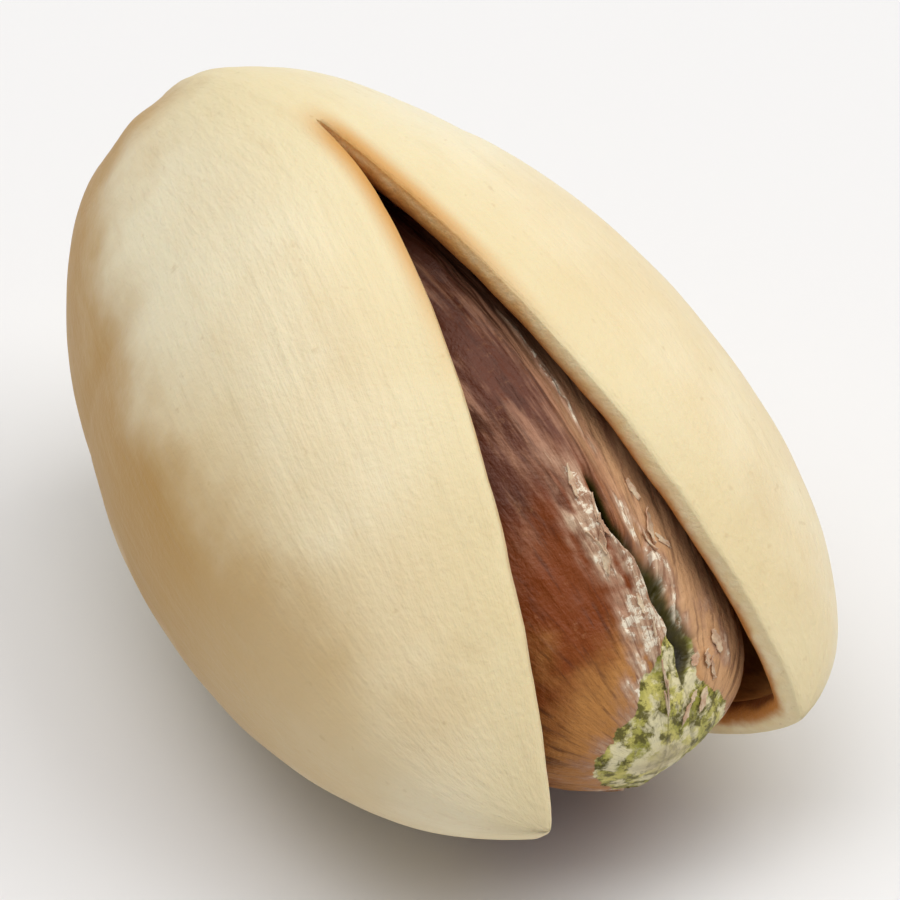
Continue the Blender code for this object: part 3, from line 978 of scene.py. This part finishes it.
def papery_colour(tree, colour, place, grain):
    """A pinkish-white layer with torn edges, fine darker lines and painted white highlights."""
    torn = times(tree, cloud(tree, grain, 0.20, 4.0, 0.7), 0.55)
    edge = sum_of(tree, note(tree, "papery", "Fac"), torn)
    paper = tint(tree, ramp(tree, cloud(tree, grain, 0.30, 4.0), 0.36, 0.64), PAPER, DARK_PAPER)
    # Painted highlights: white glints where the dried skin is strongest.
    painted_glint = ramp(tree, cloud(tree, place, 0.22, 4.0, 0.7), 0.46, 0.56)
    painted_glint = times(tree, ramp(tree, edge, 0.90, 1.15), painted_glint)
    lines = ramp(tree, cloud(tree, grain, 0.12, 4.0, 0.6), 0.48, 0.62)
    lines = times(tree, ramp(tree, edge, 0.5, 0.8), lines)
    return coats(tree, colour, [
        (ramp(tree, edge, 0.30, 0.85), 0.8, PAPER_EDGE),
        (ramp(tree, edge, 0.60, 1.0), 0.85, paper),
        (painted_glint, 0.9, PAINTED_GLINT_WHITE),
        (lines, 0.6, PAPER_LINE),
    ])


def flesh_colour(tree, place):
    """Yellow-green, olive in the hollows, and cream where it has dried."""
    colour = tint(tree, ramp(tree, cloud(tree, place, 0.7, 4.0), 0.34, 0.64), FLESH_YELLOW, FLESH_GREEN)
    return coats(tree, colour, [
        (ramp(tree, cloud(tree, place, 0.30, 6.0, 0.72), 0.43, 0.57), 0.85, OLIVE),
        (ramp(tree, cloud(tree, place, 0.40, 5.0, 0.62, 0.3), 0.47, 0.61), 0.85, DRIED_CREAM),
        (ramp(tree, note(tree, "reach", "Fac"), 0.94, 0.98), 0.7, TIP_CREAM),
    ])


print("flesh, from yellow to green:", np.round([FLESH_YELLOW[:3], FLESH_GREEN[:3]], 2).tolist())

# %% [markdown]
# ## The seed as one piece
#
# Skin, dried skin and flesh are one surface, so the seed is one piece with one finish. Little light gets
# into the crack. Lamps alone would leave its floor too pale at this size, so it is tinted by its depth,
# first olive and then nearly black. The skin is duller than the shell: its highlights are turned down.

# %% The whole finish of the seed
CRACK_OLIVE, CRACK_BLACK = shade(74, 66, 24), shade(30, 24, 12)


def finish_seed():
    """Skin, dried skin and flesh in one finish."""
    material, tree, shader = new_finish("seed_skin_and_flesh")
    place, grain, bare = note(tree, "place"), note(tree, "grain"), note(tree, "bare", "Fac")
    colour = papery_colour(tree, skin_colour(tree, place, grain), place, grain)
    colour = tint(tree, ramp(tree, bare, 0.3, 0.7), colour, flesh_colour(tree, place))
    depth = note(tree, "depth", "Fac")
    colour = tint(tree, ramp(tree, depth, 0.06, 0.25), colour, CRACK_OLIVE)
    colour = tint(tree, ramp(tree, depth, 0.20, 0.50), colour, CRACK_BLACK)
    tree.links.new(colour, shader.inputs["Base Color"])
    vary_shine(tree, shader, cloud(tree, place, 0.5, 5.0), 0.32, 0.58)
    shader.inputs["Specular IOR Level"].default_value = 0.25
    layers = [(cloud(tree, grain, 0.28, 4.0, 0.6), 0.05), (cloud(tree, place, 0.13, 4.0), 0.035)]
    raise_bump(tree, shader, layers)
    return tell(material)


SEED = seed()
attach(SEED, "root")
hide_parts("kernel")

# %% [markdown]
# ## Loose flakes of skin
#
# Beside the crack and at the tip, scraps of the dried skin stand off the seed and curl. Carving can't
# make an edge with air under it, so each scrap is a small sheet of its own, laid on the seed's surface by
# the same formula, raised along one side and then thickened. Chance places them, and starting it from a
# fixed number gives the same flakes in every run.

# %% One flake
FLAKE_COUNT, FLAKE_THICKNESS, FLAKE_CHANCE = 26, 0.03 * MM, 12
FLAKE_STEPS = 16
RADIAN_ALONG, RADIAN_ROUND = 7.0 * MM, 3.2 * MM


def flake(chance):
    """A grid of points: a pointed scrap that lies along the seed and curls up at one side."""
    reach = chance.uniform(0.64, 0.93)
    beside = chance.choice([0.26, 0.26, -0.48]) + chance.normal(0.0, 0.07) - 0.20 * (reach > 0.78)
    length, width = chance.uniform(0.30, 0.85) * MM, chance.uniform(0.035, 0.10) * MM
    along = np.linspace(-1.0, 1.0, FLAKE_STEPS + 1)[:, None]
    across = np.linspace(-1.0, 1.0, FLAKE_STEPS + 1)[None, :]
    ragged = 1 + 0.30 * np.sin(6 * along + chance.uniform(0, 6))
    ragged = ragged + 0.15 * np.sin(13 * along + chance.uniform(0, 6))
    half = width * (1 - along**2) ** 0.7 * ragged + 0.008 * MM
    theta = math.pi * reach + along * length / 2 / RADIAN_ALONG + 0.0 * across
    phi = beside + across * half / RADIAN_ROUND + chance.uniform(-0.05, 0.05) * along
    curl = chance.uniform(0.03, 0.11) * MM * ((1 + chance.choice([-1, 1]) * across) / 2) ** 2
    lift = curl * (0.6 + 0.4 * along**2) + 0.015 * MM
    placed = kernel_surface(theta, phi, kernel_relief(theta, phi) + lift)
    return on_table(placed), placed / MM


print(f"{FLAKE_COUNT} flakes of {FLAKE_STEPS} by {FLAKE_STEPS} faces to lay")

# %% [markdown]
# ## The flakes and their finish
#
# The flakes are the same dry skin, seen from above and along their edges: a pinkish white with thin brown
# lines. They could take the seed's finish, but they carry none of its notes, and a thin scrap lets more
# light through. So they get a short finish of their own, and all of them are one piece.

# %% Flakes
FLAKE_WHITE, FLAKE_TAN, FLAKE_LINE = shade(222, 198, 168), shade(184, 144, 116), shade(150, 106, 78)


def finish_flakes():
    """Thin, pale and dull."""
    material, tree, shader = new_finish("seed_skin_flakes")
    place = note(tree, "place")
    colour = tint(tree, ramp(tree, cloud(tree, place, 0.45, 4.0), 0.35, 0.65), FLAKE_WHITE, FLAKE_TAN)
    lines = ramp(tree, cloud(tree, place, 0.12, 4.0, 0.7), 0.54, 0.70)
    tree.links.new(coats(tree, colour, [(lines, 0.5, FLAKE_LINE)]), shader.inputs["Base Color"])
    vary_shine(tree, shader, cloud(tree, place, 0.3), 0.5, 0.75)
    let_light_in(shader, 0.2, (0.8, 0.5, 0.4), 0.2 * MM)
    raise_bump(tree, shader, [(cloud(tree, place, 0.09, 3.0), 0.02)])
    return tell(material)


def skin_flakes():
    """All the flakes as one thin piece."""
    chance = np.random.default_rng(FLAKE_CHANCE)
    made = [flake(chance) for _ in range(FLAKE_COUNT)]
    grids = [placed for placed, _ in made]
    notes = {"place": [place for _, place in made]}
    piece = piece_of_grids("skin_flakes", grids, notes, [finish_flakes()], [0] * FLAKE_COUNT)
    thicken = piece.modifiers.new("thickness", "SOLIDIFY")
    thicken.thickness = FLAKE_THICKNESS
    thicken.offset = 1.0
    return piece


FLAKES = skin_flakes()
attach(FLAKES, "root")

# %% [markdown]
# ## The table
#
# A plain pale table carries the nut and takes its soft shadow. A single square would do, but a wide
# round sheet has no edge in any view.

# %% Table
TABLE_RADIUS, TABLE_DROP = 1.5, 0.02 * MM
TABLE_GREY, TABLE_WHITE = shade(228, 228, 231), shade(234, 234, 236)


def table():
    """A wide disc just under the nut's flats."""
    bm = bmesh.new()
    bmesh.ops.create_circle(bm, cap_ends=True, segments=96, radius=TABLE_RADIUS)
    mesh = bpy.data.meshes.new("table")
    bm.to_mesh(mesh)
    bm.free()
    top = bpy.data.objects.new("table", mesh)
    top.location.z = -TABLE_DROP
    bpy.context.scene.collection.objects.link(top)
    material, tree, shader = new_finish("table_white")
    where = add(tree, "TexCoord", {}).outputs["Object"]
    paint = add(tree, "TexNoise", {"Vector": where, "Scale": 6.0, "Detail": 2.0}).outputs["Fac"]
    tree.links.new(tint(tree, paint, TABLE_GREY, TABLE_WHITE), shader.inputs["Base Color"])
    shader.inputs["Roughness"].default_value = 0.6
    mesh.materials.append(tell(material))
    return top


table()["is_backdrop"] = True

# %% [markdown]
# ## Light
#
# A sun would light the nut with one line of code, but its shadows are hard. Here a large soft lamp stands
# high on the right, a little behind the nut, and brightens the right half. A second one hangs almost
# overhead, a little to the left, lights the other half and shortens the shadow. A pale sky fills the
# rest, so that no shadow goes black. Light falls off with distance, so these small watts suit a nut half
# a metre off.

# %% Lamps and sky
NUT_MIDDLE = Vector((0.0, 0.0, 0.006))
LAMP_SIZE, WARM_WHITE = 0.50, (1.0, 0.985, 0.94)
WINDOW_WATTS, TOP_WATTS, SKY_STRENGTH = 2.0, 1.85, 0.34


def soft_lamp(name, place, watts):
    """A square lamp that looks at the nut."""
    light = bpy.data.lights.new(name, "AREA")
    light.size, light.energy, light.color = LAMP_SIZE, watts, WARM_WHITE
    lamp = bpy.data.objects.new(name, light)
    lamp.location = place
    lamp.rotation_euler = (NUT_MIDDLE - Vector(place)).to_track_quat("-Z", "Y").to_euler()
    bpy.context.scene.collection.objects.link(lamp)


def pale_sky(strength):
    """Even light from all round."""
    world = bpy.data.worlds.new("pale_sky")
    world.use_nodes = True
    background = world.node_tree.nodes["Background"]
    background.inputs["Color"].default_value = (0.97, 0.965, 0.975, 1.0)
    background.inputs["Strength"].default_value = strength
    bpy.context.scene.world = world


soft_lamp("window_lamp", (0.14, 0.32, 0.50), WINDOW_WATTS)
soft_lamp("top_lamp", (-0.08, -0.09, 0.54), TOP_WATTS)
pale_sky(SKY_STRENGTH)
bpy.context.scene.view_settings.view_transform = "Standard"

# %% [markdown]
# ## Camera
#
# A nut looks its own shape from a little under half a metre with a long lens, which shows almost no
# perspective. The camera could be placed by eye. Here it stands in the direction that fits the nut's
# traced outline, aims at the middle of what is seen, and its lens makes the nut fill most of the frame.

# %% Camera
AZIMUTH, ELEVATION = math.radians(55.6), math.radians(39.6)
DISTANCE, FRAME_WIDTH, SENSOR = 0.42, 18.66 * MM, 36.0
level = math.cos(ELEVATION)
back = Vector((math.sin(AZIMUTH) * level, -math.cos(AZIMUTH) * level, math.sin(ELEVATION)))
right = Vector((math.cos(AZIMUTH), math.sin(AZIMUTH), 0.0))
above = back.cross(right)

corners = np.array([vertex.co for vertex in SHELL.data.vertices])
seen = np.stack([corners @ np.array(axis) for axis in (right, above, back)], axis=-1)
middle = (seen.min(axis=0) + seen.max(axis=0)) / 2
target = right * middle[0] + above * middle[1] + back * middle[2]

lens = bpy.data.cameras.new("camera")
lens.sensor_width, lens.lens = SENSOR, SENSOR * DISTANCE / FRAME_WIDTH
lens.clip_start, lens.clip_end = 0.01, 10.0
camera = bpy.data.objects.new("camera", lens)
camera.location = target + back * DISTANCE
camera.rotation_euler = back.to_track_quat("Z", "Y").to_euler()
bpy.context.scene.collection.objects.link(camera)
bpy.context.scene.camera = camera
print("seen size, mm:", ((seen.max(axis=0) - seen.min(axis=0)) / MM).round(2))

# %% [markdown]
# ## Measure the boxes
#
# The dressed nut has to stay in the box of the solid one. It could be checked by eye in the viewport, but
# hundredths of a millimetre don't show there. So both boxes are measured and written side by side.

# %% Sizes
boxes = {"cad": [list(corner) for corner in CAD_BOX], "visual": [list(corner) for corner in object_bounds()]}
for name, box in boxes.items():
    print(name, "box, mm:", (np.array(box) / MM).round(2).tolist())
